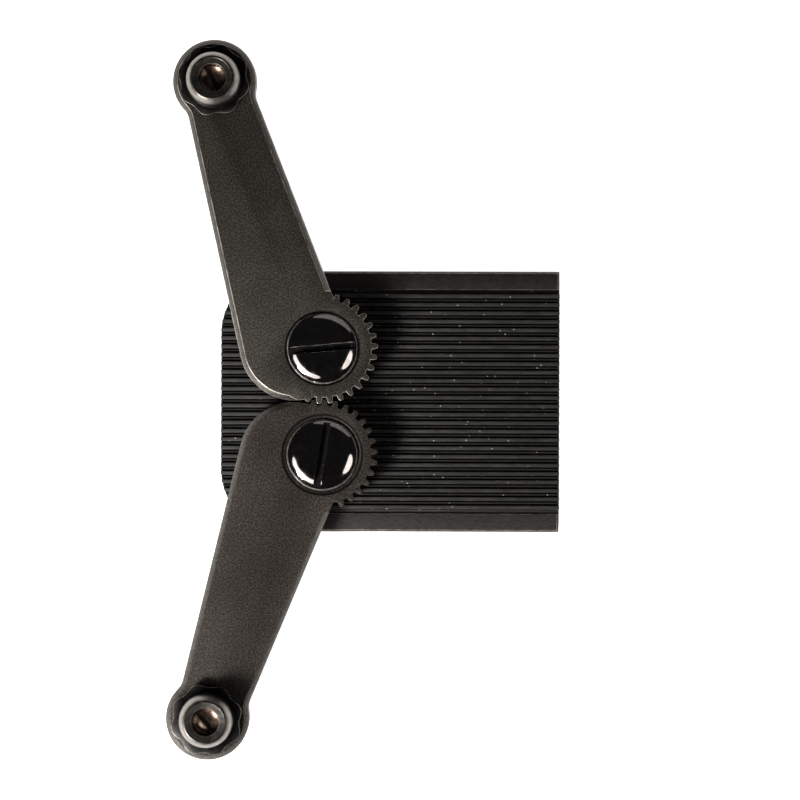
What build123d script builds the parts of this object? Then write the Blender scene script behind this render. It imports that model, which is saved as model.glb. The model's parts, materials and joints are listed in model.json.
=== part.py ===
import math
import os

from build123d import *

# A ribbed bar with two geared arms that fold along it, a clamp station on the
# end of each. Millimetres and degrees. X runs along the bar and Z is up. The
# origin is midway between the pivots, on the plane the bar rests on.

# Bar
bar_length = 77.0
bar_width = 59.4
bar_thickness = 7.0
bar_corner_radius = 14.2
bar_edge_bevel = 0.45
pivot_to_bar_end = 23.3
flange_width = 4.2
channel_depth = 2.4

# Ribbed rubber pad
rib_pitch = 1.92
rib_top_width = 0.8
rib_root_width = 1.3
rib_height = 1.2
rib_stand = 0.7

# Rubber grip sheet let into the bar's underside
sheet_thickness = 1.4
sheet_stand = 0.6
sheet_margin = 3.0
sheet_hole_margin = 0.5

# Gear teeth on the inner end of each arm
gear_module = 0.8
gear_teeth = 30
pressure_angle = 20.0
tooth_addendum = 0.5
tooth_dedendum = 0.9
tooth_crown = 0.06
tooth_backlash = 0.3
sector_teeth = 17
mesh_tooth_offset = 3.6

# Arms
arm_length = 65.0
arm_thickness = 4.6
arm_lift = 0.8
arm_edge_bevel = 1.1
hub_inner_width = 6.4
neck_inner_width = 7.3
neck_outer_width = 7.6
neck_fillet = 4.0
eye_radius = 9.42
upper_open_angle = 112.2
lower_open_angle = 113.4
upper_seat_bevel = 0.15
lower_seat_bevel = 0.6

# Pivot screws and the pieces round them
head_radius = 7.85
head_thickness = 3.3
head_edge_round = 1.9
head_slot_width = 1.6
head_slot_depth = 1.3
shoulder_radius = 4.5
thread_radius = 3.0
seat_depth = 2.2
washer_thickness = 0.4
bush_wall = 1.0
spacer_wall = 2.6
insert_wall = 1.6
insert_flange_radius = 6.5
insert_flange_thickness = 1.2
upper_slot_angle = 5.2
lower_slot_angle = 81.0

# Clamp stations on the outer ends
stud_radius = 3.0
stud_head_radius = 5.0
stud_head_thickness = 1.4
stud_slot_width = 1.1
stud_slot_depth = 1.0
stud_dome_height = 0.5
stud_recess = 0.9
upper_stud_angle = -60.0
lower_stud_angle = -50.0
clamp_washer_radius = 7.0
clamp_washer_thickness = 0.6
nut_flange_radius = 8.1
nut_flange_thickness = 2.2
nut_height = 5.8
nut_collar_radius = 6.2
nut_collar_round = 1.3
nut_mouth_bevel = 0.5
scallop_count = 8
scallop_depth = 0.9
scallop_radius = 2.6
upper_scallop_angle = 7.0
lower_scallop_angle = -4.5

# Clearances
running_clearance = 0.05
face_gap = 0.05
head_clearance = 0.4
cut_margin = 1.0

# Levels, from the rest plane up
bar_top = sheet_stand + bar_thickness
channel_floor = bar_top - channel_depth
rib_top = bar_top + rib_stand
rib_foot = rib_top - rib_height
arm_bottom = rib_top + arm_lift
arm_top = arm_bottom + arm_thickness
seat_floor = arm_top - seat_depth
washer_bottom = seat_floor + face_gap
head_bottom = washer_bottom + washer_thickness
insert_bottom = sheet_stand
insert_flange_top = insert_bottom + insert_flange_thickness
nut_bottom = arm_top + face_gap + clamp_washer_thickness + face_gap
nut_top = nut_bottom + nut_height
stud_top = nut_top - stud_recess

# Widths and radii that follow from others
bar_start = -pivot_to_bar_end
bar_end = bar_start + bar_length
pad_width = bar_width - 2 * flange_width
rib_count = int(pad_width / rib_pitch)
pitch_radius = gear_module * gear_teeth / 2
base_radius = pitch_radius * math.cos(math.radians(pressure_angle))
tip_radius = pitch_radius + tooth_addendum
root_radius = pitch_radius - tooth_dedendum
tooth_step = 360 / gear_teeth
gear_face_radius = tip_radius + tooth_addendum
corner_arc_radius = tip_radius - 0.2 * tooth_addendum
corner_arc_along = 0.25 * pitch_radius
corner_arc_side = 0.47 * pitch_radius
bush_radius = shoulder_radius + running_clearance + bush_wall
spacer_radius = shoulder_radius + running_clearance + spacer_wall
insert_radius = thread_radius + running_clearance + insert_wall

# What differs between the two sides of the pair
sides = {
    "upper": {
        "sign": 1,
        "open_angle": upper_open_angle,
        "first_tooth": -90 - mesh_tooth_offset - 2 * tooth_step,
        "seat_bevel": upper_seat_bevel,
        "slot_angle": upper_slot_angle,
        "stud_angle": upper_stud_angle,
        "scallop_angle": upper_scallop_angle,
    },
    "lower": {
        "sign": -1,
        "open_angle": -lower_open_angle,
        "first_tooth": 90 + mesh_tooth_offset - tooth_step / 2 + 3 * tooth_step,
        "seat_bevel": lower_seat_bevel,
        "slot_angle": lower_slot_angle,
        "stud_angle": lower_stud_angle,
        "scallop_angle": lower_scallop_angle,
    },
}


def pivot_of(side):
    return (0, side["sign"] * pitch_radius)


def eye_of(side):
    angle = math.radians(side["open_angle"])
    x, y = pivot_of(side)
    return (x + arm_length * math.cos(angle), y + arm_length * math.sin(angle))


def save(builder, label):
    builder.part.label = label
    export_step(builder.part, f"parts/{label}.step")


def ring(label, center, bottom, top, outer, inner):
    with BuildPart() as piece:
        with BuildSketch(Plane.XY.offset(bottom)):
            with Locations(center):
                Circle(outer)
                Circle(inner, mode=Mode.SUBTRACT)
        extrude(amount=top - bottom)
    save(piece, label)


def bar_outline(margin=0):
    """Round corners at the pivot end, cut square at the other."""
    half = bar_width / 2 - margin
    start = bar_start + margin
    end = bar_end - margin
    corner_x = bar_start + bar_corner_radius
    corner_y = bar_width / 2 - bar_corner_radius
    radius = bar_corner_radius - margin
    with BuildSketch() as outline:
        with BuildLine():
            Line((start, -corner_y), (start, corner_y))
            RadiusArc((start, corner_y), (corner_x, half), radius)
            Polyline((corner_x, half), (end, half), (end, -half), (corner_x, -half))
            RadiusArc((corner_x, -half), (start, -corner_y), radius)
        make_face()
    return outline.sketch


def base_bar():
    outline = bar_outline()
    recess = bar_outline(sheet_margin)
    pivots = [pivot_of(side) for side in sides.values()]
    with BuildPart() as bar:
        with BuildSketch(Plane.XY.offset(sheet_stand)):
            add(outline)
        extrude(amount=bar_thickness)
        outer_edges = bar.faces().sort_by(Axis.Z)[-1].edges() + bar.faces().sort_by(Axis.Z)[0].edges()
        chamfer(outer_edges, bar_edge_bevel)
        # the channel that holds the pad, open at both ends
        with BuildSketch(Plane.XY.offset(channel_floor)):
            with Locations(((bar_start + bar_end) / 2, 0)):
                Rectangle(bar_length + 2 * cut_margin, pad_width)
        extrude(amount=channel_depth + cut_margin, mode=Mode.SUBTRACT)
        # recess for the grip sheet, with islands left round the inserts
        with BuildSketch(Plane.XY.offset(sheet_stand)):
            add(recess)
            with Locations(*pivots):
                Circle(insert_flange_radius + sheet_hole_margin, mode=Mode.SUBTRACT)
        extrude(amount=sheet_thickness - sheet_stand, mode=Mode.SUBTRACT)
        # seats for the threaded inserts, with a counterbore for their flanges
        with BuildSketch(Plane.XY.offset(insert_bottom)):
            with Locations(*pivots):
                Circle(insert_radius)
        extrude(amount=bar_thickness, mode=Mode.SUBTRACT)
        with BuildSketch(Plane.XY.offset(insert_bottom)):
            with Locations(*pivots):
                Circle(insert_flange_radius)
        extrude(amount=insert_flange_thickness, mode=Mode.SUBTRACT)
    save(bar, "base_bar")


def grip_sheet():
    outline = bar_outline(sheet_margin)
    pivots = [pivot_of(side) for side in sides.values()]
    with BuildPart() as sheet:
        with BuildSketch(Plane.XY):
            add(outline)
            with Locations(*pivots):
                Circle(insert_flange_radius + sheet_hole_margin, mode=Mode.SUBTRACT)
        extrude(amount=sheet_thickness)
    save(sheet, "grip_sheet")


def rib_profile():
    with BuildSketch() as rib:
        with BuildLine():
            Polyline(
                (-rib_root_width / 2, rib_foot),
                (rib_root_width / 2, rib_foot),
                (rib_top_width / 2, rib_top),
                (-rib_top_width / 2, rib_top),
                close=True,
            )
        make_face()
    return rib.sketch


def ribbed_pad():
    outline = bar_outline()
    rib = rib_profile()
    pivots = [pivot_of(side) for side in sides.values()]
    with BuildPart() as pad:
        # the pad's cross-section, ribs and all, run along the bar
        with BuildSketch(Plane.YZ.offset(bar_start)):
            with Locations((0, (channel_floor + rib_foot) / 2)):
                Rectangle(pad_width, rib_foot - channel_floor)
            with GridLocations(rib_pitch, 1, rib_count, 1):
                add(rib)
        extrude(amount=bar_length)
        # trimmed to the bar's round corners
        with BuildSketch(Plane.XY.offset(channel_floor)):
            add(outline)
        extrude(amount=rib_top - channel_floor, mode=Mode.INTERSECT)
        # holes for the pivot spacers
        with BuildSketch(Plane.XY.offset(channel_floor)):
            with Locations(*pivots):
                Circle(spacer_radius)
        extrude(amount=rib_top - channel_floor, mode=Mode.SUBTRACT)
    save(pad, "ribbed_pad")


def involute(radius):
    roll = math.acos(base_radius / radius)
    return math.tan(roll) - roll


def flank_point(radius, flank):
    half_tooth = (math.pi * gear_module - tooth_backlash) / 4 / pitch_radius
    angle = flank * (half_tooth + involute(pitch_radius) - involute(max(radius, base_radius)))
    return (radius * math.cos(angle), radius * math.sin(angle))


def gear_tooth():
    """One tooth pointing along X, with involute flanks and a crowned tip."""
    flank_top = tip_radius - tooth_crown
    flank_radii = [base_radius, (base_radius + pitch_radius) / 2, pitch_radius, flank_top]
    foot = root_radius - tooth_dedendum
    with BuildSketch() as tooth:
        with BuildLine():
            Line(flank_point(foot, -1), flank_point(base_radius, -1))
            Spline(*[flank_point(radius, -1) for radius in flank_radii])
            ThreePointArc(flank_point(flank_top, -1), (tip_radius, 0), flank_point(flank_top, 1))
            Spline(*[flank_point(radius, 1) for radius in reversed(flank_radii)])
            Line(flank_point(base_radius, 1), flank_point(foot, 1))
            Line(flank_point(foot, 1), flank_point(foot, -1))
        make_face()
    return tooth.sketch


def blade_outline(sign):
    """The straight-sided blade, its outer edge tangent to the corner's arc."""
    corner = (corner_arc_along, sign * corner_arc_side)
    reach = math.hypot(arm_length - corner_arc_along, neck_outer_width - corner_arc_side)
    lean = math.atan2(corner_arc_side - neck_outer_width, arm_length - corner_arc_along)
    turn = math.pi / 2 - math.asin(corner_arc_radius / reach) - lean
    tangent = (
        corner[0] + corner_arc_radius * math.cos(turn),
        corner[1] + sign * corner_arc_radius * math.sin(turn),
    )
    with BuildSketch() as outline:
        with BuildLine():
            Polyline(
                (0, -sign * hub_inner_width),
                (arm_length, -sign * neck_inner_width),
                (arm_length, sign * neck_outer_width),
                tangent,
                corner,
                close=True,
            )
        make_face()
        with Locations(corner):
            Circle(corner_arc_radius)
        Circle(root_radius)
    return outline.sketch


def arm(name, side):
    sign = side["sign"]
    angle = math.radians(side["open_angle"])
    along = (math.cos(angle), math.sin(angle), 0)
    level = Plane(origin=(*pivot_of(side), arm_bottom), x_dir=along, z_dir=(0, 0, 1))
    tooth = gear_tooth()
    blade = blade_outline(sign)
    with BuildPart() as piece:
        with BuildSketch(level) as outline:
            add(blade)
            with Locations((arm_length, 0)):
                Circle(eye_radius)
            neck = [
                corner
                for corner in outline.vertices()
                if abs(math.hypot(corner.X - arm_length, corner.Y) - eye_radius) < running_clearance
            ]
            fillet(neck, neck_fillet)
        extrude(amount=arm_thickness)
        chamfer(piece.faces().sort_by(Axis.Z)[-1].edges(), arm_edge_bevel)
        # the toothed end keeps its full height and sharp edges
        with BuildSketch(level):
            add(blade)
            Circle(gear_face_radius, mode=Mode.INTERSECT)
            first = side["first_tooth"] - side["open_angle"]
            span = sign * tooth_step * (sector_teeth - 1)
            with PolarLocations(0, sector_teeth, first, span, endpoint=True):
                add(tooth)
        extrude(amount=arm_thickness)
        # bore for the bush, and the seat for the screw head over it
        with BuildSketch(level):
            Circle(bush_radius)
        extrude(amount=arm_thickness, mode=Mode.SUBTRACT)
        with BuildSketch(level.offset(arm_thickness - seat_depth)):
            Circle(head_radius + head_clearance)
        extrude(amount=seat_depth, mode=Mode.SUBTRACT)
        seat_edge = piece.faces().sort_by(Axis.Z)[-1].edges().filter_by(
            lambda edge: edge.geom_type == GeomType.CIRCLE
            and abs(edge.radius - head_radius - head_clearance) < running_clearance
        )
        chamfer(seat_edge, side["seat_bevel"])
        # bore for the stud, and the recess for its head underneath
        with BuildSketch(level):
            with Locations((arm_length, 0)):
                Circle(stud_radius)
        extrude(amount=arm_thickness, mode=Mode.SUBTRACT)
        with BuildSketch(level):
            with Locations((arm_length, 0)):
                Circle(stud_head_radius)
        extrude(amount=stud_head_thickness, mode=Mode.SUBTRACT)
    save(piece, f"{name}_arm")


def pivot_screw(name, side):
    x, y = pivot_of(side)
    head_top = head_bottom + head_thickness
    thread_end = insert_bottom + insert_flange_thickness / 2
    axis = Plane(origin=(x, y, 0), x_dir=(1, 0, 0), z_dir=(0, -1, 0))
    slot_level = Plane(origin=(x, y, head_top), x_dir=(1, 0, 0), z_dir=(0, 0, 1))
    with BuildPart() as screw:
        with BuildSketch(axis):
            with BuildLine():
                Polyline(
                    (0, thread_end),
                    (thread_radius, thread_end),
                    (thread_radius, channel_floor),
                    (shoulder_radius, channel_floor),
                    (shoulder_radius, head_bottom),
                    (head_radius, head_bottom),
                    (head_radius, head_top - head_edge_round),
                )
                RadiusArc(
                    (head_radius, head_top - head_edge_round),
                    (head_radius - head_edge_round, head_top),
                    -head_edge_round,
                )
                Polyline((head_radius - head_edge_round, head_top), (0, head_top), (0, thread_end))
            make_face()
        revolve(axis=Axis((x, y, 0), (0, 0, 1)))
        with BuildSketch(slot_level):
            Rectangle(2 * head_radius + cut_margin, head_slot_width, rotation=side["slot_angle"])
        extrude(amount=-head_slot_depth, mode=Mode.SUBTRACT)
    save(screw, f"{name}_pivot_screw")


def pivot_insert(name, side):
    with BuildPart() as insert:
        with BuildSketch(Plane.XY.offset(insert_bottom)):
            with Locations(pivot_of(side)):
                Circle(insert_flange_radius)
        extrude(amount=insert_flange_thickness)
        with BuildSketch(Plane.XY.offset(insert_flange_top)):
            with Locations(pivot_of(side)):
                Circle(insert_radius)
        extrude(amount=channel_floor - insert_flange_top)
        with BuildSketch(Plane.XY.offset(insert_bottom)):
            with Locations(pivot_of(side)):
                Circle(thread_radius + running_clearance)
        extrude(amount=channel_floor - insert_bottom, mode=Mode.SUBTRACT)
    save(insert, f"{name}_pivot_insert")


def clamp_stud(name, side):
    x, y = eye_of(side)
    slot_level = Plane(origin=(x, y, stud_top), x_dir=(1, 0, 0), z_dir=(0, 0, 1))
    with BuildPart() as stud:
        with BuildSketch(Plane.XY.offset(arm_bottom)):
            with Locations((x, y)):
                Circle(stud_head_radius)
        extrude(amount=stud_head_thickness)
        with BuildSketch(Plane.XY.offset(arm_bottom)):
            with Locations((x, y)):
                Circle(stud_radius)
        extrude(amount=stud_top - arm_bottom)
        chamfer(stud.faces().sort_by(Axis.Z)[-1].edges(), stud_dome_height)
        with BuildSketch(slot_level):
            Rectangle(2 * stud_radius + cut_margin, stud_slot_width, rotation=side["stud_angle"])
        extrude(amount=-stud_slot_depth, mode=Mode.SUBTRACT)
    save(stud, f"{name}_clamp_stud")


def thumb_nut(name, side):
    x, y = eye_of(side)
    scallop_center = nut_flange_radius - scallop_depth + scallop_radius
    bore = stud_radius + running_clearance
    with BuildPart() as nut:
        with BuildSketch(Plane(origin=(x, y, nut_bottom))):
            Circle(nut_flange_radius)
            with PolarLocations(scallop_center, scallop_count, side["scallop_angle"]):
                Circle(scallop_radius, mode=Mode.SUBTRACT)
        extrude(amount=nut_flange_thickness)
        with BuildSketch(Plane(origin=(x, y, nut_bottom))):
            Circle(nut_collar_radius)
        extrude(amount=nut_height)
        fillet(nut.faces().sort_by(Axis.Z)[-1].edges(), nut_collar_round)
        with BuildSketch(Plane(origin=(x, y, nut_bottom))):
            Circle(bore)
        extrude(amount=nut_height, mode=Mode.SUBTRACT)
        mouth = nut.faces().sort_by(Axis.Z)[-1].edges().sort_by(SortBy.RADIUS)[0]
        chamfer(mouth, nut_mouth_bevel)
    save(nut, f"{name}_thumb_nut")


os.makedirs("parts", exist_ok=True)
base_bar()
grip_sheet()
ribbed_pad()
for name, side in sides.items():
    pivot = pivot_of(side)
    turning = shoulder_radius + running_clearance
    arm(name, side)
    pivot_screw(name, side)
    pivot_insert(name, side)
    ring(f"{name}_pivot_bush", pivot, arm_bottom, seat_floor, bush_radius, turning)
    ring(f"{name}_pivot_spacer", pivot, channel_floor, arm_bottom - face_gap, spacer_radius, turning)
    ring(f"{name}_friction_washer", pivot, washer_bottom, head_bottom, head_radius, turning)
    clamp_stud(name, side)
    washer_base = arm_top + face_gap
    washer_top = washer_base + clamp_washer_thickness
    washer_bore = stud_radius + running_clearance
    ring(f"{name}_clamp_washer", eye_of(side), washer_base, washer_top, clamp_washer_radius, washer_bore)
    thumb_nut(name, side)
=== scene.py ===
import json
import math

import bpy
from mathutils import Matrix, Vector

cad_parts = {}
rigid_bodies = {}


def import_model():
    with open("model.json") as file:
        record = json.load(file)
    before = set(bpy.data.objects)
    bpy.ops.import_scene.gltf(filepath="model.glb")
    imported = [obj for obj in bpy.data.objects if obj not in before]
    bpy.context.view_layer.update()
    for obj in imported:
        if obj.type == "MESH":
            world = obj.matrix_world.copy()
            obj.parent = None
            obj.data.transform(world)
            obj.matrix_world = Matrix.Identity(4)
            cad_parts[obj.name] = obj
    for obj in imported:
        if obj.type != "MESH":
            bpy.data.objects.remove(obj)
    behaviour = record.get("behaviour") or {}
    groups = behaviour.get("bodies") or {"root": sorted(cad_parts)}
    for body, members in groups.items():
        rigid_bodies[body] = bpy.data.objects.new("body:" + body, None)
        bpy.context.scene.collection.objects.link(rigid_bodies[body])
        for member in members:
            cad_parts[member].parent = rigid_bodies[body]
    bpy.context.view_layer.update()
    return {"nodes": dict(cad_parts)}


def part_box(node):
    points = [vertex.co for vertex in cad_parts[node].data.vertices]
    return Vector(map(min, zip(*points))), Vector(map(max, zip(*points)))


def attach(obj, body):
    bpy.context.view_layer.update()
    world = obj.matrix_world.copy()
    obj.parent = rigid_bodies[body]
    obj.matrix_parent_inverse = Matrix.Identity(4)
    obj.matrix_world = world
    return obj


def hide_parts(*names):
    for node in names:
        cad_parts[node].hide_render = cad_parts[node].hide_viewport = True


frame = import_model()

mm = 0.001
sides = ("upper", "lower")
# points this close are joined, and faces within this many degrees count as flat
copyWeld, latheWeld, flatAngle = 0.002, 0.001, 0.5

# where the parts are, read from the frame
pivots = {}
eyes = {}
for side in sides:
    low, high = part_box(f"{side}_pivot_screw")
    pivots[side] = Vector(((low[0] + high[0]) / 2, (low[1] + high[1]) / 2, high[2]))
    low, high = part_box(f"{side}_clamp_stud")
    eyes[side] = Vector(((low[0] + high[0]) / 2, (low[1] + high[1]) / 2, high[2]))


def linearOf(hexColor):
    channels = []
    for start in (0, 2, 4):
        value = int(hexColor[start:start + 2], 16) / 255
        channels.append(value / 12.92 if value <= 0.04045 else ((value + 0.055) / 1.055) ** 2.4)
    return (*channels, 1.0)


def deselectAll():
    if bpy.context.object and bpy.context.object.mode != "OBJECT":
        bpy.ops.object.mode_set(mode="OBJECT")
    bpy.ops.object.select_all(action="DESELECT")


def makeActive(piece):
    deselectAll()
    piece.select_set(True)
    bpy.context.view_layer.objects.active = piece


def applyModifier(piece, kind, **settings):
    makeActive(piece)
    modifier = piece.modifiers.new(kind.title(), kind)
    for setting, value in settings.items():
        setattr(modifier, setting, value)
    bpy.ops.object.modifier_apply(modifier=modifier.name)


def placeInMesh(piece):
    makeActive(piece)
    bpy.ops.object.transform_apply(location=True, rotation=True, scale=True)


def smoothByAngle(piece, degrees=35):
    makeActive(piece)
    bpy.ops.object.shade_smooth_by_angle(angle=math.radians(degrees))


def copyOfNode(nodeName, pieceName):
    node = frame["nodes"][nodeName]
    deselectAll()
    node.select_set(True)
    bpy.context.view_layer.objects.active = node
    bpy.ops.object.duplicate()
    piece = bpy.context.object
    bpy.ops.object.parent_clear(type="CLEAR_KEEP_TRANSFORM")
    piece.name = pieceName
    piece.data.name = pieceName
    piece.data.materials.clear()
    placeInMesh(piece)
    bpy.ops.object.mode_set(mode="EDIT")
    bpy.ops.mesh.select_all(action="SELECT")
    bpy.ops.mesh.remove_doubles(threshold=copyWeld * mm)
    bpy.ops.mesh.customdata_custom_splitnormals_clear()
    bpy.ops.mesh.dissolve_limited(angle_limit=math.radians(flatAngle))
    bpy.ops.mesh.normals_make_consistent(inside=False)
    bpy.ops.object.mode_set(mode="OBJECT")
    return piece


def turnedPiece(pieceName, center, profile, steps=160):
    # a lathe cut: the profile is drawn point by point, then spun once round
    deselectAll()
    start = Vector((center[0] + profile[0][0], center[1], profile[0][1]))
    bpy.ops.mesh.primitive_plane_add(size=mm, location=start)
    piece = bpy.context.object
    piece.name = pieceName
    placeInMesh(piece)
    bpy.ops.object.mode_set(mode="EDIT")
    bpy.ops.mesh.select_all(action="SELECT")
    bpy.ops.mesh.merge(type="CENTER")
    bpy.ops.mesh.select_all(action="SELECT")
    for before, after in zip(profile, profile[1:]):
        step = (after[0] - before[0], 0, after[1] - before[1])
        bpy.ops.mesh.extrude_vertices_move(TRANSFORM_OT_translate={"value": step})
    bpy.ops.mesh.select_all(action="SELECT")
    bpy.ops.mesh.spin(
        steps=steps,
        angle=math.tau,
        center=(center[0], center[1], 0),
        axis=(0, 0, 1),
        use_auto_merge=True,
    )
    bpy.ops.mesh.select_all(action="SELECT")
    bpy.ops.mesh.remove_doubles(threshold=latheWeld * mm)
    bpy.ops.mesh.normals_make_consistent(inside=False)
    bpy.ops.object.mode_set(mode="OBJECT")
    return piece


def arcPoints(centerRadius, centerHeight, arcRadius, startAngle, endAngle, count):
    points = []
    for index in range(count + 1):
        angle = math.radians(startAngle + (endAngle - startAngle) * index / count)
        out = centerRadius + arcRadius * math.cos(angle)
        points.append((out, centerHeight + arcRadius * math.sin(angle)))
    return points


def joinWith(piece, other, operation):
    applyModifier(piece, "BOOLEAN", operation=operation, solver="EXACT", object=other)
    bpy.data.objects.remove(other)


def barCutter(center, length, width, depth, degrees):
    deselectAll()
    bpy.ops.mesh.primitive_cube_add(size=1, location=center, rotation=(0, 0, math.radians(degrees)))
    cutter = bpy.context.object
    cutter.scale = (length, width, depth)
    placeInMesh(cutter)
    return cutter


def newMaterial(name):
    material = bpy.data.materials.new(name)
    material.use_nodes = True
    return material, material.node_tree.nodes["Principled BSDF"]


def setNode(node, settings=None, links=None):
    # settings are sockets, properties or a ramp's stops; links are {socket: (node, output)}
    for key, value in (settings or {}).items():
        if key == "stops":
            elements = node.color_ramp.elements
            while len(elements) < len(value):
                elements.new(0.5)
            for element, (position, color) in zip(elements, value):
                element.position = position
                element.color = linearOf(color) if isinstance(color, str) else color
        elif isinstance(key, int) or key in node.inputs:
            node.inputs[key].default_value = value
        else:
            setattr(node, key, value)
    for key, (source, output) in (links or {}).items():
        node.id_data.links.new(source.outputs[output], node.inputs[key])
    return node


def addNode(material, kind, settings=None, links=None):
    return setNode(material.node_tree.nodes.new(kind), settings, links)


multiply = {"data_type": "RGBA", "blend_type": "MULTIPLY", 0: 1.0}


def distanceFromAxis(material, center):
    place = addNode(material, "ShaderNodeTexCoord")
    flat = addNode(
        material,
        "ShaderNodeMapping",
        {"Location": (-center.x, -center.y, 0), "Scale": (1, 1, 0)},
        {"Vector": (place, "Object")},
    )
    return addNode(
        material, "ShaderNodeVectorMath", {"operation": "LENGTH"}, {0: (flat, "Vector")}
    )


def ringMask(material, center, radius, width):
    # white on a ring round an upright axis, black elsewhere
    distance = distanceFromAxis(material, center)
    away = addNode(
        material,
        "ShaderNodeMath",
        {"operation": "SUBTRACT", 1: radius * mm},
        {0: (distance, "Value")},
    )
    near = addNode(material, "ShaderNodeMath", {"operation": "ABSOLUTE"}, {0: (away, "Value")})
    return addNode(
        material,
        "ShaderNodeMapRange",
        {"From Min": width * 0.3 * mm, "From Max": width * mm, "To Min": 1.0, "To Max": 0.0},
        {"Value": (near, "Value")},
    )


# grain and cloud are the widths of one blotch in millimetres
armAlloy = {
    "grain": 0.36,
    "gritStops": [(0.36, "33302d"), (0.5, "4b4843"), (0.64, "68645e")],
    "cloud": 11.0,
    "cloudStops": [(0.3, "dedad6"), (0.7, "ffffff")],
    "roughness": 0.5,
    "metallic": 0.6,
    "bump": (0.05, 0.7),
    "tone": {"upper": "fffcf4", "lower": "fff5f2"},
    # the far-end tone and the brighter ring round the gear: painted light falloff, partly handling
    # wear
    "farPaintedShadeAndWear": 0.82,
    "nearPivotLightAndWear": (4.0, 34.0),
    # colour of the painted shade ring at the screw seat
    "paintedSeatShade": "2c2826",
}
# a ring of painted shade lies where each screw seat meets the arm: radius and width in millimetres
seatPaintedShade = {"upper": (8.36, 0.3), "lower": (8.98, 0.42)}


def makeBlastedAlloy(side):
    # aluminium, bead-blasted and anodised dark: an even grey with fine grit, no clear reflection
    material, shader = newMaterial(f"{side}BeadBlastedAnodisedAluminium")
    place = addNode(material, "ShaderNodeTexCoord")
    grit = addNode(
        material,
        "ShaderNodeTexNoise",
        {"Scale": 1 / (armAlloy["grain"] * mm), "Detail": 2.0, "Roughness": 0.5},
        {"Vector": (place, "Object")},
    )
    cloud = addNode(
        material,
        "ShaderNodeTexNoise",
        {"Scale": 1 / (armAlloy["cloud"] * mm), "Detail": 3.0, "Roughness": 0.5},
        {"Vector": (place, "Object")},
    )
    gritColor = addNode(
        material, "ShaderNodeValToRGB", {"stops": armAlloy["gritStops"]}, {"Fac": (grit, "Fac")}
    )
    cloudColor = addNode(
        material, "ShaderNodeValToRGB", {"stops": armAlloy["cloudStops"]}, {"Fac": (cloud, "Fac")}
    )
    clouded = addNode(
        material, "ShaderNodeMix", multiply, {6: (gritColor, "Color"), 7: (cloudColor, "Color")}
    )
    # round the gear the metal is painted brighter and far from it darker: painted light falloff,
    # partly handling wear
    nearPivotLightAndWear = ringMask(material, pivots[side], *armAlloy["nearPivotLightAndWear"])
    tone = linearOf(armAlloy["tone"][side])
    farPaintedShadeAndWear = (*(armAlloy["farPaintedShadeAndWear"] * part for part in tone[:3]), 1)
    nearPivotLightAndWearColor = addNode(
        material,
        "ShaderNodeValToRGB",
        {"stops": [(0.0, farPaintedShadeAndWear), (1.0, tone)]},
        {"Fac": (nearPivotLightAndWear, "Result")},
    )
    toned = addNode(
        material, "ShaderNodeMix", multiply, {6: (clouded, 2), 7: (nearPivotLightAndWearColor, "Color")}
    )
    # painted shade in the gap where the screw seat meets the arm
    paintedSeatShade = ringMask(material, pivots[side], *seatPaintedShade[side])
    paintedSeatShadeColor = addNode(
        material,
        "ShaderNodeValToRGB",
        {"stops": [(0.0, "ffffff"), (1.0, armAlloy["paintedSeatShade"])]},
        {"Fac": (paintedSeatShade, "Result")},
    )
    color = addNode(
        material, "ShaderNodeMix", multiply, {6: (toned, 2), 7: (paintedSeatShadeColor, "Color")}
    )
    depth, strength = armAlloy["bump"]
    bump = addNode(
        material,
        "ShaderNodeBump",
        {"Distance": depth * mm, "Strength": strength},
        {"Height": (grit, "Fac")},
    )
    setNode(
        shader,
        {"Metallic": armAlloy["metallic"], "Roughness": armAlloy["roughness"]},
        {"Base Color": (color, 2), "Normal": (bump, "Normal")},
    )
    return material


# colours by height from the groove floor at 0 to the crests at 1: painted light on the groove
# floor, the ridge tops and the crests, painted shade on the flanks; dustSize is the specks'
# spacing, wear and grain are the widths of one blotch, in millimetres
ribRubber = {
    "depth": 1.25,
    "paintedLightZones": [
        (0.0, "605b56"),
        (0.07, "060606"),
        (0.62, "060606"),
        (0.655, "24221f"),
        (0.7, "24221f"),
        (0.72, "060606"),
        (0.965, "060606"),
        (0.993, "3f3c38"),
    ],
    "wear": 1.1,
    "grain": 0.3,
    "wearStretch": (0.35, 1, 1),
    "wearStops": [(0.35, "a8a5a2"), (0.68, "ffffff")],
    "dustSize": 1.7,
    "dustStops": [(0.05, "ffffff"), (0.1, "000000")],
    "dust": "c8c4bc",
    "roughness": 0.6,
    "bump": (0.03, 0.4),
}


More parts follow.
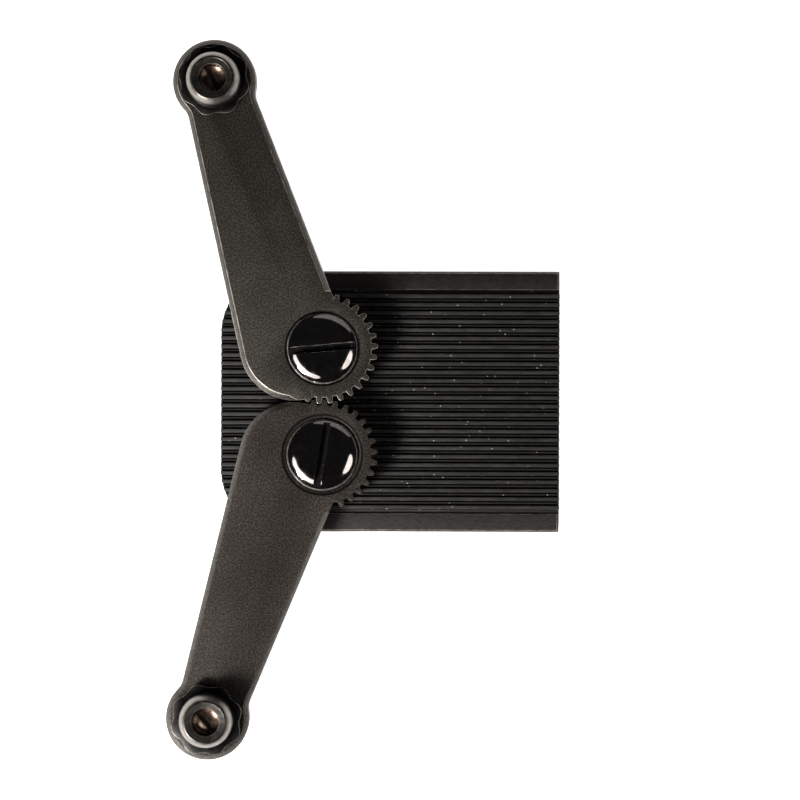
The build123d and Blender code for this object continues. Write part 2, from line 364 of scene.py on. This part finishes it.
def makeRibRubber():
    # moulded black rubber with patchy wear: crests, ridge tops and groove floors painted light,
    # flanks painted dark as shade, a little dust in grooves and on top
    material, shader = newMaterial("mouldedBlackRubber")
    place = addNode(material, "ShaderNodeTexCoord")
    split = addNode(material, "ShaderNodeSeparateXYZ", None, {"Vector": (place, "Object")})
    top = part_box("ribbed_pad")[1][2]
    height = addNode(
        material,
        "ShaderNodeMapRange",
        {"From Min": top - ribRubber["depth"] * mm, "From Max": top, "To Min": 0.0, "To Max": 1.0},
        {"Value": (split, "Z")},
    )
    # painted light and shade by height: light crests, ridge tops and groove floors, near-black
    # flanks
    paintedLightZones = addNode(
        material, "ShaderNodeValToRGB", {"stops": ribRubber["paintedLightZones"]}, {"Fac": (height, "Result")}
    )
    along = addNode(
        material,
        "ShaderNodeMapping",
        {"Scale": ribRubber["wearStretch"]},
        {"Vector": (place, "Object")},
    )
    wear = addNode(
        material,
        "ShaderNodeTexNoise",
        {"Scale": 1 / (ribRubber["wear"] * mm), "Detail": 4.0, "Roughness": 0.65},
        {"Vector": (along, "Vector")},
    )
    wearColor = addNode(
        material, "ShaderNodeValToRGB", {"stops": ribRubber["wearStops"]}, {"Fac": (wear, "Fac")}
    )
    worn = addNode(
        material, "ShaderNodeMix", multiply, {6: (paintedLightZones, "Color"), 7: (wearColor, "Color")}
    )
    specks = addNode(
        material,
        "ShaderNodeTexVoronoi",
        {"Scale": 1 / (ribRubber["dustSize"] * mm), "Randomness": 1.0},
        {"Vector": (place, "Object")},
    )
    dust = addNode(
        material,
        "ShaderNodeValToRGB",
        {"stops": ribRubber["dustStops"]},
        {"Fac": (specks, "Distance")},
    )
    color = addNode(
        material,
        "ShaderNodeMix",
        {"data_type": "RGBA", 7: linearOf(ribRubber["dust"])},
        {0: (dust, "Color"), 6: (worn, 2)},
    )
    fine = addNode(
        material,
        "ShaderNodeTexNoise",
        {"Scale": 1 / (ribRubber["grain"] * mm), "Detail": 3.0, "Roughness": 0.5},
        {"Vector": (place, "Object")},
    )
    depth, strength = ribRubber["bump"]
    bump = addNode(
        material,
        "ShaderNodeBump",
        {"Distance": depth * mm, "Strength": strength},
        {"Height": (fine, "Fac")},
    )
    setNode(
        shader,
        {"Roughness": ribRubber["roughness"]},
        {"Base Color": (color, 2), "Normal": (bump, "Normal")},
    )
    return material


# brightness by distance from the nut's axis in millimetres, from the bore out to the rim, painted
# light and shade: a painted highlight on the crown, painted shade at the bore mouth, in the crease
# and round the collar's foot; wear and grain are the widths of one blotch
nutPlating = {
    "paintedLightRings": [
        (3.05, 0.20),
        (3.3, 0.16),
        (3.45, 0.09),
        (4.35, 0.13),
        (4.55, 0.04),
        (5.0, 0.25),
        (5.7, 0.29),
        (6.0, 0.05),
        (6.3, 0.008),
        (6.9, 0.02),
        (7.6, 0.05),
        (8.1, 0.09),
    ],
    "inner": 3.0,
    "outer": 8.2,
    "wear": 1.6,
    "grain": 0.3,
    "warmth": (1, 0.9, 0.8),
    "wearStops": [(0.32, "b4b2b0"), (0.68, "ffffff")],
    "polish": {"From Min": 0.3, "From Max": 0.75, "To Min": 0.3, "To Max": 0.46},
    "metallic": 0.85,
    "bump": (0.01, 0.3),
}


def makeNutPlating(side):
    # turned brass under black nickel: the bright crown is a painted highlight, the black foot and
    # crease painted shade
    material, shader = newMaterial(f"{side}WornNickelPlatedBrass")
    inner, outer = nutPlating["inner"], nutPlating["outer"]
    distance = distanceFromAxis(material, eyes[side])
    reach = addNode(
        material,
        "ShaderNodeMapRange",
        {"From Min": inner * mm, "From Max": outer * mm, "To Min": 0.0, "To Max": 1.0},
        {"Value": (distance, "Value")},
    )
    # painted highlight on the crown, painted shade at the bore mouth, in the crease and at the foot
    stops = [
        ((radius - inner) / (outer - inner), (*(tone * part for part in nutPlating["warmth"]), 1))
        for radius, tone in nutPlating["paintedLightRings"]
    ]
    paintedLightRings = addNode(material, "ShaderNodeValToRGB", {"stops": stops}, {"Fac": (reach, "Result")})
    place = addNode(material, "ShaderNodeTexCoord")
    wear = addNode(
        material,
        "ShaderNodeTexNoise",
        {"Scale": 1 / (nutPlating["wear"] * mm), "Detail": 5.0, "Roughness": 0.7},
        {"Vector": (place, "Object")},
    )
    wearColor = addNode(
        material, "ShaderNodeValToRGB", {"stops": nutPlating["wearStops"]}, {"Fac": (wear, "Fac")}
    )
    color = addNode(
        material, "ShaderNodeMix", multiply, {6: (paintedLightRings, "Color"), 7: (wearColor, "Color")}
    )
    rough = addNode(material, "ShaderNodeMapRange", nutPlating["polish"], {"Value": (wear, "Fac")})
    fine = addNode(
        material,
        "ShaderNodeTexNoise",
        {"Scale": 1 / (nutPlating["grain"] * mm), "Detail": 3.0, "Roughness": 0.5},
        {"Vector": (place, "Object")},
    )
    depth, strength = nutPlating["bump"]
    bump = addNode(
        material,
        "ShaderNodeBump",
        {"Distance": depth * mm, "Strength": strength},
        {"Height": (fine, "Fac")},
    )
    setNode(
        shader,
        {"Metallic": nutPlating["metallic"]},
        {"Base Color": (color, 2), "Roughness": (rough, "Result"), "Normal": (bump, "Normal")},
    )
    return material


# blotch is the width of one patch in millimetres, bump a depth in millimetres and a strength
surfaces = {
    # the same alloy where a cutter took the edge off, with faint tool marks, painted lighter for
    # the light the chamfers catch
    "cut": {
        "name": "machinedBevelPaintedLighter",
        "blotch": 0.7,
        "detail": 4.0,
        "spread": 0.65,
        "stops": [(0.3, "44403c"), (0.7, "69635c")],
        "metallic": 0.7,
        "roughness": 0.4,
        "bump": (0.02, 0.5),
    },
    # sharp edges: thin bright lines of painted highlight
    "edge": {
        "name": "paintedEdgeHighlight",
        "blotch": 2.4,
        "detail": 4.0,
        "spread": 0.6,
        "stops": [(0.36, "77726b"), (0.6, "d2ccc2")],
        "metallic": 0.6,
        "roughness": 0.36,
    },
    # black anodised extrusion: satin, mottled a little longer along the bar
    "bar": {
        "name": "blackAnodisedExtrusion",
        "stretch": (0.3, 1, 1),
        "blotch": 0.4,
        "detail": 4.0,
        "spread": 0.7,
        "stops": [(0.3, "3a3632"), (0.75, "575250")],
        "metallic": 0.6,
        "roughness": 0.42,
        "bump": (0.01, 0.5),
    },
    # polished steel plated with black nickel: mirrors the lamps, black elsewhere
    "nickel": {
        "name": "polishedBlackNickel",
        "blotch": 1.4,
        "detail": 5.0,
        "spread": 0.65,
        "stops": [(0.35, "b2aaa4"), (0.7, "d5cbc4")],
        "metallic": 1.0,
        "polish": {"From Min": 0.35, "From Max": 0.75, "To Min": 0.05, "To Max": 0.14},
    },
    # the slot's sawn faces: duller than the polish, painted dark as shade in the slot, with pale
    # scuffs from drivers
    "slot": {
        "name": "sawnSteelSlotPaintedShade",
        "blotch": 0.7,
        "detail": 4.0,
        "spread": 0.7,
        "stops": [(0.35, "0f0d0c"), (0.64, "1f1b19"), (0.74, "b4ada4")],
        "metallic": 0.6,
        "roughness": 0.5,
    },
    # slot edges burred pale by screwdrivers
    "scuff": {
        "name": "scuffedSlotEdge",
        "blotch": 1.3,
        "detail": 4.0,
        "spread": 0.7,
        "stops": [(0.32, "8a847c"), (0.44, "d8d1c7"), (0.58, "fbf6ee")],
        "metallic": 0.0,
        "roughness": 0.5,
    },
    # edges of the plated pieces: a painted highlight, lighter than the plating
    "rim": {
        "name": "paintedRimHighlight",
        "blotch": 1.6,
        "detail": 4.0,
        "spread": 0.6,
        "stops": [(0.36, "6f6b66"), (0.62, "c4c0b9")],
        "metallic": 0.7,
        "roughness": 0.42,
    },
    # reamed bore: smooth enough to throw the lamps back on to the stud
    "bore": {
        "name": "reamedNickelBore",
        "blotch": 0.8,
        "detail": 3.0,
        "spread": 0.5,
        "stops": [(0.35, "a39c94"), (0.65, "c9c2b9")],
        "metallic": 1.0,
        "roughness": 0.18,
    },
    # copper flashed on the stud's end, gone dull: soft brown highlights
    "copper": {
        "name": "dulledCopperPlate",
        "blotch": 1.0,
        "detail": 4.0,
        "spread": 0.6,
        "stops": [(0.32, "6b564c"), (0.7, "a8968b")],
        "metallic": 1.0,
        "roughness": 0.3,
        "bump": (0.01, 0.3),
    },
    # the stud's slot, sawn after plating: rougher, and painted darker as shade in the slot
    "copperSlot": {
        "name": "sawnCopperSlotPaintedShade",
        "blotch": 0.6,
        "detail": 4.0,
        "spread": 0.6,
        "stops": [(0.32, "4c3e36"), (0.7, "7a6557")],
        "metallic": 1.0,
        "roughness": 0.5,
        "bump": (0.01, 0.3),
    },
    # pressed and sintered bronze: fine speckle, satin
    "bronze": {
        "name": "sinteredBronze",
        "blotch": 0.4,
        "detail": 4.0,
        "spread": 0.6,
        "stops": [(0.32, "8a6238"), (0.7, "b08a55")],
        "metallic": 1.0,
        "roughness": 0.45,
        "bump": (0.01, 0.3),
    },
    # bright zinc over turned steel: pale, fairly shiny, a little cloudy
    "zinc": {
        "name": "brightZincPlate",
        "blotch": 1.5,
        "detail": 4.0,
        "spread": 0.6,
        "stops": [(0.32, "8f9092"), (0.7, "bcbdc0")],
        "metallic": 1.0,
        "roughness": 0.28,
        "bump": (0.01, 0.3),
    },
    # pressed rubber sheet: dull and slightly grained
    "sheet": {
        "name": "pressedRubberSheet",
        "blotch": 0.6,
        "detail": 4.0,
        "spread": 0.6,
        "stops": [(0.3, "1c1b1a"), (0.7, "2c2a28")],
        "metallic": 0.0,
        "roughness": 0.75,
        "bump": (0.05, 0.5),
    },
    # cut from black nylon sheet: matt with a slight waxy sheen
    "nylon": {
        "name": "blackNylonSheet",
        "blotch": 0.8,
        "detail": 3.0,
        "spread": 0.5,
        "stops": [(0.3, "161616"), (0.7, "232323")],
        "metallic": 0.0,
        "roughness": 0.5,
    },
}


def makeSurface(look):
    material, shader = newMaterial(look["name"])
    place = addNode(material, "ShaderNodeTexCoord")
    space = addNode(
        material,
        "ShaderNodeMapping",
        {"Scale": look.get("stretch", (1, 1, 1))},
        {"Vector": (place, "Object")},
    )
    blotch = addNode(
        material,
        "ShaderNodeTexNoise",
        {
            "Scale": 1 / (look["blotch"] * mm),
            "Detail": look["detail"],
            "Roughness": look["spread"],
        },
        {"Vector": (space, "Vector")},
    )
    color = addNode(
        material, "ShaderNodeValToRGB", {"stops": look["stops"]}, {"Fac": (blotch, "Fac")}
    )
    settings = {"Metallic": look["metallic"]}
    links = {"Base Color": (color, "Color")}
    if "polish" in look:
        rough = addNode(
            material, "ShaderNodeMapRange", look["polish"], {"Value": (blotch, "Fac")}
        )
        links["Roughness"] = (rough, "Result")
    else:
        settings["Roughness"] = look["roughness"]
    if "bump" in look:
        depth, strength = look["bump"]
        bump = addNode(
            material,
            "ShaderNodeBump",
            {"Distance": depth * mm, "Strength": strength},
            {"Height": (blotch, "Fac")},
        )
        links["Normal"] = (bump, "Normal")
    setNode(shader, settings, links)
    return material


finishes = {finish: makeSurface(look) for finish, look in surfaces.items()}
finishes["rib"] = makeRibRubber()
for side in sides:
    finishes[f"{side}Blasted"] = makeBlastedAlloy(side)
    finishes[f"{side}Plating"] = makeNutPlating(side)
print("materials made")


def finishPiece(piece, body, node, slotName, *materials):
    for material in materials:
        piece.data.materials.append(finishes[material])
    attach(piece, body)
    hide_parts(node)


def distanceAcross(face, center):
    return math.hypot(face.center.x - center.x, face.center.y - center.y)


def roundEdges(piece, width, segments, angle, slot=-1):
    # slot is the material the new edge faces take, or -1 to keep their neighbours'
    applyModifier(
        piece,
        "BEVEL",
        width=width * mm,
        segments=segments,
        limit_method="ANGLE",
        angle_limit=math.radians(angle),
        material=slot,
        harden_normals=False,
    )


bar = {"edgeRound": 0.14, "lipWidth": 4.2, "lipFall": 10.0, "topReach": 0.6, "endReach": 0.2}


def makeBar():
    piece = copyOfNode("base_bar", "ribbedBarExtrusion")
    # both lips fall away a little towards their outer edges
    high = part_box("base_bar")[1]
    inner = high[1] - bar["lipWidth"] * mm
    for vertex in piece.data.vertices:
        beyond = abs(vertex.co.y) - inner
        if beyond > 0 and vertex.co.z > high[2] - bar["topReach"] * mm:
            vertex.co.z -= beyond * math.tan(math.radians(bar["lipFall"]))
    piece.data.materials.append(finishes["bar"])
    piece.data.materials.append(finishes["edge"])
    # the rounded edges take the painted edge highlight
    roundEdges(piece, bar["edgeRound"], 2, 30, 1)
    # the sawn end gets no painted edge highlight
    for face in piece.data.polygons:
        if face.center.x > high[0] - bar["endReach"] * mm:
            face.material_index = 0
    smoothByAngle(piece)
    finishPiece(piece, "base", "base_bar", "black_anodised_aluminium")


pad = {
    "edgeRound": 0.27,
    "ribs": 26,
    "pitch": 1.92,
    "ribHeight": 1.2,
    "ridgeWidth": 0.3,
    "ridgeDrop": 0.42,
    "ridgeSink": 0.2,
    "outlineStretch": 3,
}


def makePad():
    piece = copyOfNode("ribbed_pad", "ribbedRubberPad")
    roundEdges(piece, pad["edgeRound"], 3, 30)
    # a fine low ridge runs along every groove, cut to the pad's own outline and holes
    low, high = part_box("ribbed_pad")
    outline = copyOfNode("ribbed_pad", "padOutline")
    for vertex in outline.data.vertices:
        vertex.co.z = low[2] + (vertex.co.z - low[2]) * pad["outlineStretch"]
    foot = high[2] - pad["ribHeight"] * mm - pad["ridgeSink"] * mm
    ridgeTop = high[2] - pad["ridgeDrop"] * mm
    deselectAll()
    middle = ((low[0] + high[0]) / 2, 0, (foot + ridgeTop) / 2)
    bpy.ops.mesh.primitive_cube_add(size=1, location=middle)
    ridges = bpy.context.object
    ridges.scale = (high[0] - low[0], pad["ridgeWidth"] * mm, ridgeTop - foot)
    placeInMesh(ridges)
    grooves = pad["ribs"] - 1
    for vertex in ridges.data.vertices:
        vertex.co.y -= (grooves - 1) / 2 * pad["pitch"] * mm
    applyModifier(
        ridges,
        "ARRAY",
        count=grooves,
        use_relative_offset=False,
        use_constant_offset=True,
        constant_offset_displace=(0, pad["pitch"] * mm, 0),
    )
    joinWith(ridges, outline, "INTERSECT")
    joinWith(piece, ridges, "UNION")
    smoothByAngle(piece)
    finishPiece(piece, "base", "ribbed_pad", "ribbed_rubber", "rib")


armPlate = {"edgeRound": 0.14, "bevelLow": 0.5, "bevelHigh": 0.85, "seatReach": 9.4}


def makeArm(side):
    piece = copyOfNode(f"{side}_arm", f"{side}ArmPlate")
    for finish in (f"{side}Blasted", "cut", "edge"):
        piece.data.materials.append(finishes[finish])
    # the chamfer faces take the machined finish, painted lighter for the light they catch
    for face in piece.data.polygons:
        if armPlate["bevelLow"] < face.normal.z < armPlate["bevelHigh"]:
            face.material_index = 1
    # the rounded edges take the painted edge highlight
    roundEdges(piece, armPlate["edgeRound"], 2, 30, 2)
    # round the screw seat the faces keep the plain blasted finish, without the lighter chamfer
    # paint or the painted edge highlight
    for face in piece.data.polygons:
        if distanceAcross(face, pivots[side]) < armPlate["seatReach"] * mm:
            face.material_index = 0
    smoothByAngle(piece, 30)
    finishPiece(piece, f"{side}_arm", f"{side}_arm", "blasted_arm_alloy")


def cutSlot(piece, center, span, size, degrees):
    cutter = barCutter(center, span, size["slotWidth"], size["slotDepth"] * 2, degrees)
    joinWith(piece, cutter, "DIFFERENCE")


# how near a face must be to count as the slot's, in millimetres, and how square to it
slotMatch = {"side": 0.01, "below": 0.05, "floor": 0.02, "square": 0.99}


def markSlot(piece, center, degrees, width, floorHeight):
    # the faces a slot saw left, its floor and two walls, take the second material
    match = {key: value * mm for key, value in slotMatch.items()}
    turn = math.radians(degrees)
    across = Vector((-math.sin(turn), math.cos(turn), 0))
    for face in piece.data.polygons:
        away = face.center - Vector((center.x, center.y, 0))
        between = abs(away.dot(across)) < width / 2 + match["side"]
        inside = between and face.center.z > floorHeight - match["below"]
        wall = abs(face.normal.dot(across)) > slotMatch["square"]
        level = face.normal.z > slotMatch["square"]
        ground = level and face.center.z < floorHeight + match["floor"]
        if inside and (wall or ground):
            face.material_index = 1


screwHead = {
    "skirt": 8.08,
    "skirtDrop": 0.45,
    "radius": 7.8,
    "thickness": 3.3,
    "crownRadius": 5.4,
    "crownEnd": 43,
    "crownSteps": 20,
    "slotWidth": 1.6,
    "slotDepth": 1.1,
    "shoulder": 4.5,
    "thread": 3.0,
    "slotEdge": 0.15,
    "rimDrop": 0.12,
    "rimReach": 0.05,
    "underReach": 0.1,
    "edgeReach": 0.3,
    "cutSpan": 2.4,
    "rimSlope": 0.2,
}
slotTurn = {"upper": 5.2, "lower": 81.0}


def makeScrew(side):
    size = {key: value * mm for key, value in screwHead.items()}
    low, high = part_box(f"{side}_pivot_screw")
    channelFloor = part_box(f"{side}_pivot_spacer")[0][2]
    top = high[2]
    under = top - size["thickness"]
    # the polished crown: flat in the middle, rolling down at its rim
    roll = math.radians(screwHead["crownEnd"])
    flat = size["radius"] - size["crownRadius"] * math.sin(roll)
    rimHeight = top - size["crownRadius"] * (1 - math.cos(roll))
    profile = [
        (0, low[2]),
        (size["thread"], low[2]),
        (size["thread"], channelFloor),
        (size["shoulder"], channelFloor),
        (size["shoulder"], under),
        (size["skirt"], under),
        (size["skirt"], rimHeight - size["skirtDrop"]),
        (size["radius"], rimHeight - size["rimDrop"]),
    ]
    crown = size["crownRadius"]
    crownStart, steps = 90 - screwHead["crownEnd"], screwHead["crownSteps"]
    profile += arcPoints(flat, top - crown, crown, crownStart, 90, steps)
    profile += [(flat * 0.5, top), (0, top)]
    center = pivots[side]
    piece = turnedPiece(f"{side}PivotScrew", center, profile)
    for finish in ("nickel", "slot", "rim", "scuff"):
        piece.data.materials.append(finishes[finish])
    span = size["radius"] * screwHead["cutSpan"]
    cutSlot(piece, (center.x, center.y, top), span, size, slotTurn[side])
    # the slot's floor and walls take the slot finish, painted dark as shade
    markSlot(piece, center, slotTurn[side], size["slotWidth"], top - size["slotDepth"])
    # the head's outer rim takes the painted rim highlight
    for face in piece.data.polygons:
        outer = distanceAcross(face, center) > size["radius"] - size["rimReach"]
        above = face.center.z > under + size["underReach"]
        if outer and above and face.normal.z > screwHead["rimSlope"]:
            face.material_index = 2
    roundEdges(piece, screwHead["slotEdge"], 2, 40, 2)
    for face in piece.data.polygons:
        inner = distanceAcross(face, center) < size["radius"] - size["edgeReach"]
        if face.material_index == 2 and inner:
            face.material_index = 3
    smoothByAngle(piece, 35)
    finishPiece(piece, "base", f"{side}_pivot_screw", "black_nickel")


thumbNut = {
    "bore": 3.05,
    "flange": 8.1,
    "flangeRim": 1.35,
    "collarFoot": 6.15,
    "footRise": 1.5,
    "collarTop": 4.31,
    "collarRound": 1.0,
    "crownStart": 11,
    "crownEnd": 50,
    "crownSteps": 18,
    "turnSteps": 192,
    "coneFoot": 5.9,
    "coneFall": 1.1,
    "dishDepth": 0.2,
    "mouth": 0.12,
    "waves": 8,
    "waveDepth": 0.75,
    "wavePower": 1.15,
    "waveReach": 0.01,
    "rimEdge": 0.16,
    "footFillet": 0.25,
    "footLift": 0.1,
    "creaseIn": 0.12,
    "creaseDown": 0.1,
    "platingReach": 0.3,
    "boreReach": 0.05,
}
waveTurn = {"upper": 7.0, "lower": -4.5}


def makeNut(side):
    size = {key: value * mm for key, value in thumbNut.items()}
    low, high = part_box(f"{side}_thumb_nut")
    base, top = low[2], high[2]
    center = Vector(((low[0] + high[0]) / 2, (low[1] + high[1]) / 2, top))
    # a steep conical shoulder that rolls over into the top, then a shallow dish down to the bore
    shoulder = top - size["collarRound"] * (1 - math.cos(math.radians(thumbNut["crownEnd"])))
    profile = [
        (size["bore"], base),
        (size["flange"], base),
        (size["flange"], base + size["flangeRim"]),
        (size["collarFoot"] + size["footFillet"], base + size["footRise"]),
        (size["collarFoot"], base + size["footRise"] + size["footLift"]),
        (size["coneFoot"], shoulder - size["coneFall"]),
    ]
    profile += arcPoints(
        size["collarTop"],
        top - size["collarRound"],
        size["collarRound"],
        90 - thumbNut["crownEnd"],
        90 - thumbNut["crownStart"],
        thumbNut["crownSteps"],
    )
    crease = profile[-1]
    profile += [
        (crease[0] - size["creaseIn"], crease[1] - size["creaseDown"]),
        (size["bore"] + size["mouth"], crease[1] - size["dishDepth"]),
        (size["bore"], crease[1] - size["dishDepth"] - size["mouth"]),
        (size["bore"], base),
    ]
    piece = turnedPiece(f"{side}ThumbNut", center, profile, thumbNut["turnSteps"])
    # finger waves round the flange
    for vertex in piece.data.vertices:
        x, y = vertex.co.x - center.x, vertex.co.y - center.y
        if math.hypot(x, y) > size["flange"] - size["waveReach"]:
            turn = math.atan2(y, x) - math.radians(waveTurn[side])
            wave = 0.5 + 0.5 * math.cos(thumbNut["waves"] * turn)
            dip = wave ** thumbNut["wavePower"] * size["waveDepth"]
            scale = 1 - dip / size["flange"]
            vertex.co.x, vertex.co.y = center.x + x * scale, center.y + y * scale
    for finish in (f"{side}Plating", "rim", "bore"):
        piece.data.materials.append(finishes[finish])
    # the rounded edges take the painted rim highlight
    roundEdges(piece, thumbNut["rimEdge"], 3, 34, 1)
    # only the flange keeps the painted highlight on its edges; the bore wall is reamed smooth
    for face in piece.data.polygons:
        reach = distanceAcross(face, center)
        if reach < size["collarFoot"] + size["platingReach"]:
            face.material_index = 0
        if reach < size["bore"] + size["boreReach"]:
            face.material_index = 2
    smoothByAngle(piece, 35)
    finishPiece(piece, f"{side}_nut", f"{side}_thumb_nut", "worn_gunmetal")


stud = {
    "recess": 0.75,
    "radius": 3.0,
    "head": 5.0,
    "headThickness": 1.4,
    "dome": 0.95,
    "domeSteps": 12,
    "turnSteps": 96,
    "slotWidth": 1.1,
    "slotDepth": 1.0,
    "slotEdge": 0.06,
    "cutSpan": 2.6,
}
studTurn = {"upper": -60.0, "lower": -50.0}


def makeStud(side):
    size = {key: value * mm for key, value in stud.items()}
    low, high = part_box(f"{side}_clamp_stud")
    top = high[2] - size["recess"]
    center = eyes[side]
    ballRadius = (size["radius"] ** 2 + size["dome"] ** 2) / (2 * size["dome"])
    spread = math.degrees(math.asin(size["radius"] / ballRadius))
    profile = [
        (0, low[2]),
        (size["head"], low[2]),
        (size["head"], low[2] + size["headThickness"]),
        (size["radius"], low[2] + size["headThickness"]),
    ]
    profile += arcPoints(0, top - ballRadius, ballRadius, 90 - spread, 90, stud["domeSteps"])
    piece = turnedPiece(f"{side}ClampStud", center, profile, stud["turnSteps"])
    for finish in ("copper", "copperSlot"):
        piece.data.materials.append(finishes[finish])
    span = size["radius"] * stud["cutSpan"]
    cutSlot(piece, (center.x, center.y, top), span, size, studTurn[side])
    # the slot's floor and walls take the slot finish, painted darker as shade
    markSlot(piece, center, studTurn[side], size["slotWidth"], top - size["slotDepth"])
    roundEdges(piece, stud["slotEdge"], 2, 35)
    smoothByAngle(piece, 35)
    finishPiece(piece, f"{side}_arm", f"{side}_clamp_stud", "copper_stud")


makeBar()
makePad()
for side in sides:
    makeArm(side)
    makeScrew(side)
    makeNut(side)
    makeStud(side)
print("detailed pieces made")

# the pieces whose frame shape is already right only get their finish
plainFinishes = {"grip_sheet": "sheet"}
for side in sides:
    plainFinishes[f"{side}_pivot_bush"] = "bronze"
    plainFinishes[f"{side}_pivot_spacer"] = "zinc"
    plainFinishes[f"{side}_friction_washer"] = "nylon"
    plainFinishes[f"{side}_pivot_insert"] = "zinc"
    plainFinishes[f"{side}_clamp_washer"] = "zinc"
for nodeName, finish in plainFinishes.items():
    node = frame["nodes"][nodeName]
    node.data.materials.clear()
    node.data.materials.append(finishes[finish])
print("frame nodes finished")


floor = {"size": 3000, "drop": 0.05, "color": "f4f4f2", "roughness": 0.6, "glow": 1.0}


def makeFloor():
    deselectAll()
    bpy.ops.mesh.primitive_plane_add(
        size=floor["size"] * mm, location=(0, 0, -floor["drop"] * mm)
    )
    ground = bpy.context.object
    ground.name = "paleFloor"
    placeInMesh(ground)
    # milky acrylic lit from below: an even white with no reflections
    material, shader = newMaterial("lightTableAcrylic")
    setNode(
        shader,
        {
            "Base Color": linearOf(floor["color"]),
            "Roughness": floor["roughness"],
            "Emission Color": linearOf("ffffff"),
            "Emission Strength": floor["glow"],
        },
    )
    ground.data.materials.append(material)


# each oval softbox: compass angle and height angle seen from the bar, then distance, width and
# height in millimetres, then radiance
softboxes = {
    "leftCore": (226, 31, 430, 140, 120, 68.0),
    "leftBox": (226, 36, 440, 230, 200, 1.76),
    "leftWingNear": (204, 36, 440, 200, 165, 1.76),
    "leftWingFar": (248, 36, 440, 200, 165, 1.76),
    "rightBox": (336, 39, 470, 280, 230, 1.76),
    "farBox": (70, 20, 520, 760, 230, 0.22),
}
target = Vector((-5 * mm, 0, 10 * mm))


def makeSoftboxes():
    for name, (around, up, distance, wide, tall, radiance) in softboxes.items():
        around, up = math.radians(around), math.radians(up)
        level = math.cos(up)
        away = Vector((math.cos(around) * level, math.sin(around) * level, math.sin(up)))
        deselectAll()
        bpy.ops.object.light_add(type="AREA", location=target + away * distance * mm)
        lamp = bpy.context.object
        lamp.name = name
        lamp.data.shape = "ELLIPSE"
        lamp.data.size = wide * mm
        lamp.data.size_y = tall * mm
        lamp.data.energy = radiance * math.pi * math.pi * wide * tall / 4 * mm * mm
        lamp.rotation_euler = away.to_track_quat("Z", "Y").to_euler()


cameraSetup = {
    "place": (22.2, 4.1, 599.4),
    "turn": (-0.36, 0.46, 0.17),
    "lens": 117.0,
    "sensor": 36.0,
    "clip": 10,
}


def makeCamera():
    bpy.ops.object.camera_add(
        location=[value * mm for value in cameraSetup["place"]],
        rotation=[math.radians(value) for value in cameraSetup["turn"]],
    )
    camera = bpy.context.object
    camera.data.lens = cameraSetup["lens"]
    camera.data.sensor_width = cameraSetup["sensor"]
    camera.data.clip_start = cameraSetup["clip"] * mm
    bpy.context.scene.camera = camera


makeFloor()
makeSoftboxes()
makeCamera()
world = bpy.data.worlds.new("dimStudio")
world.use_nodes = True
world.node_tree.nodes["Background"].inputs["Color"].default_value = linearOf("171718")
bpy.context.scene.world = world
bpy.context.scene.view_settings.view_transform = "Standard"
print("stage set")
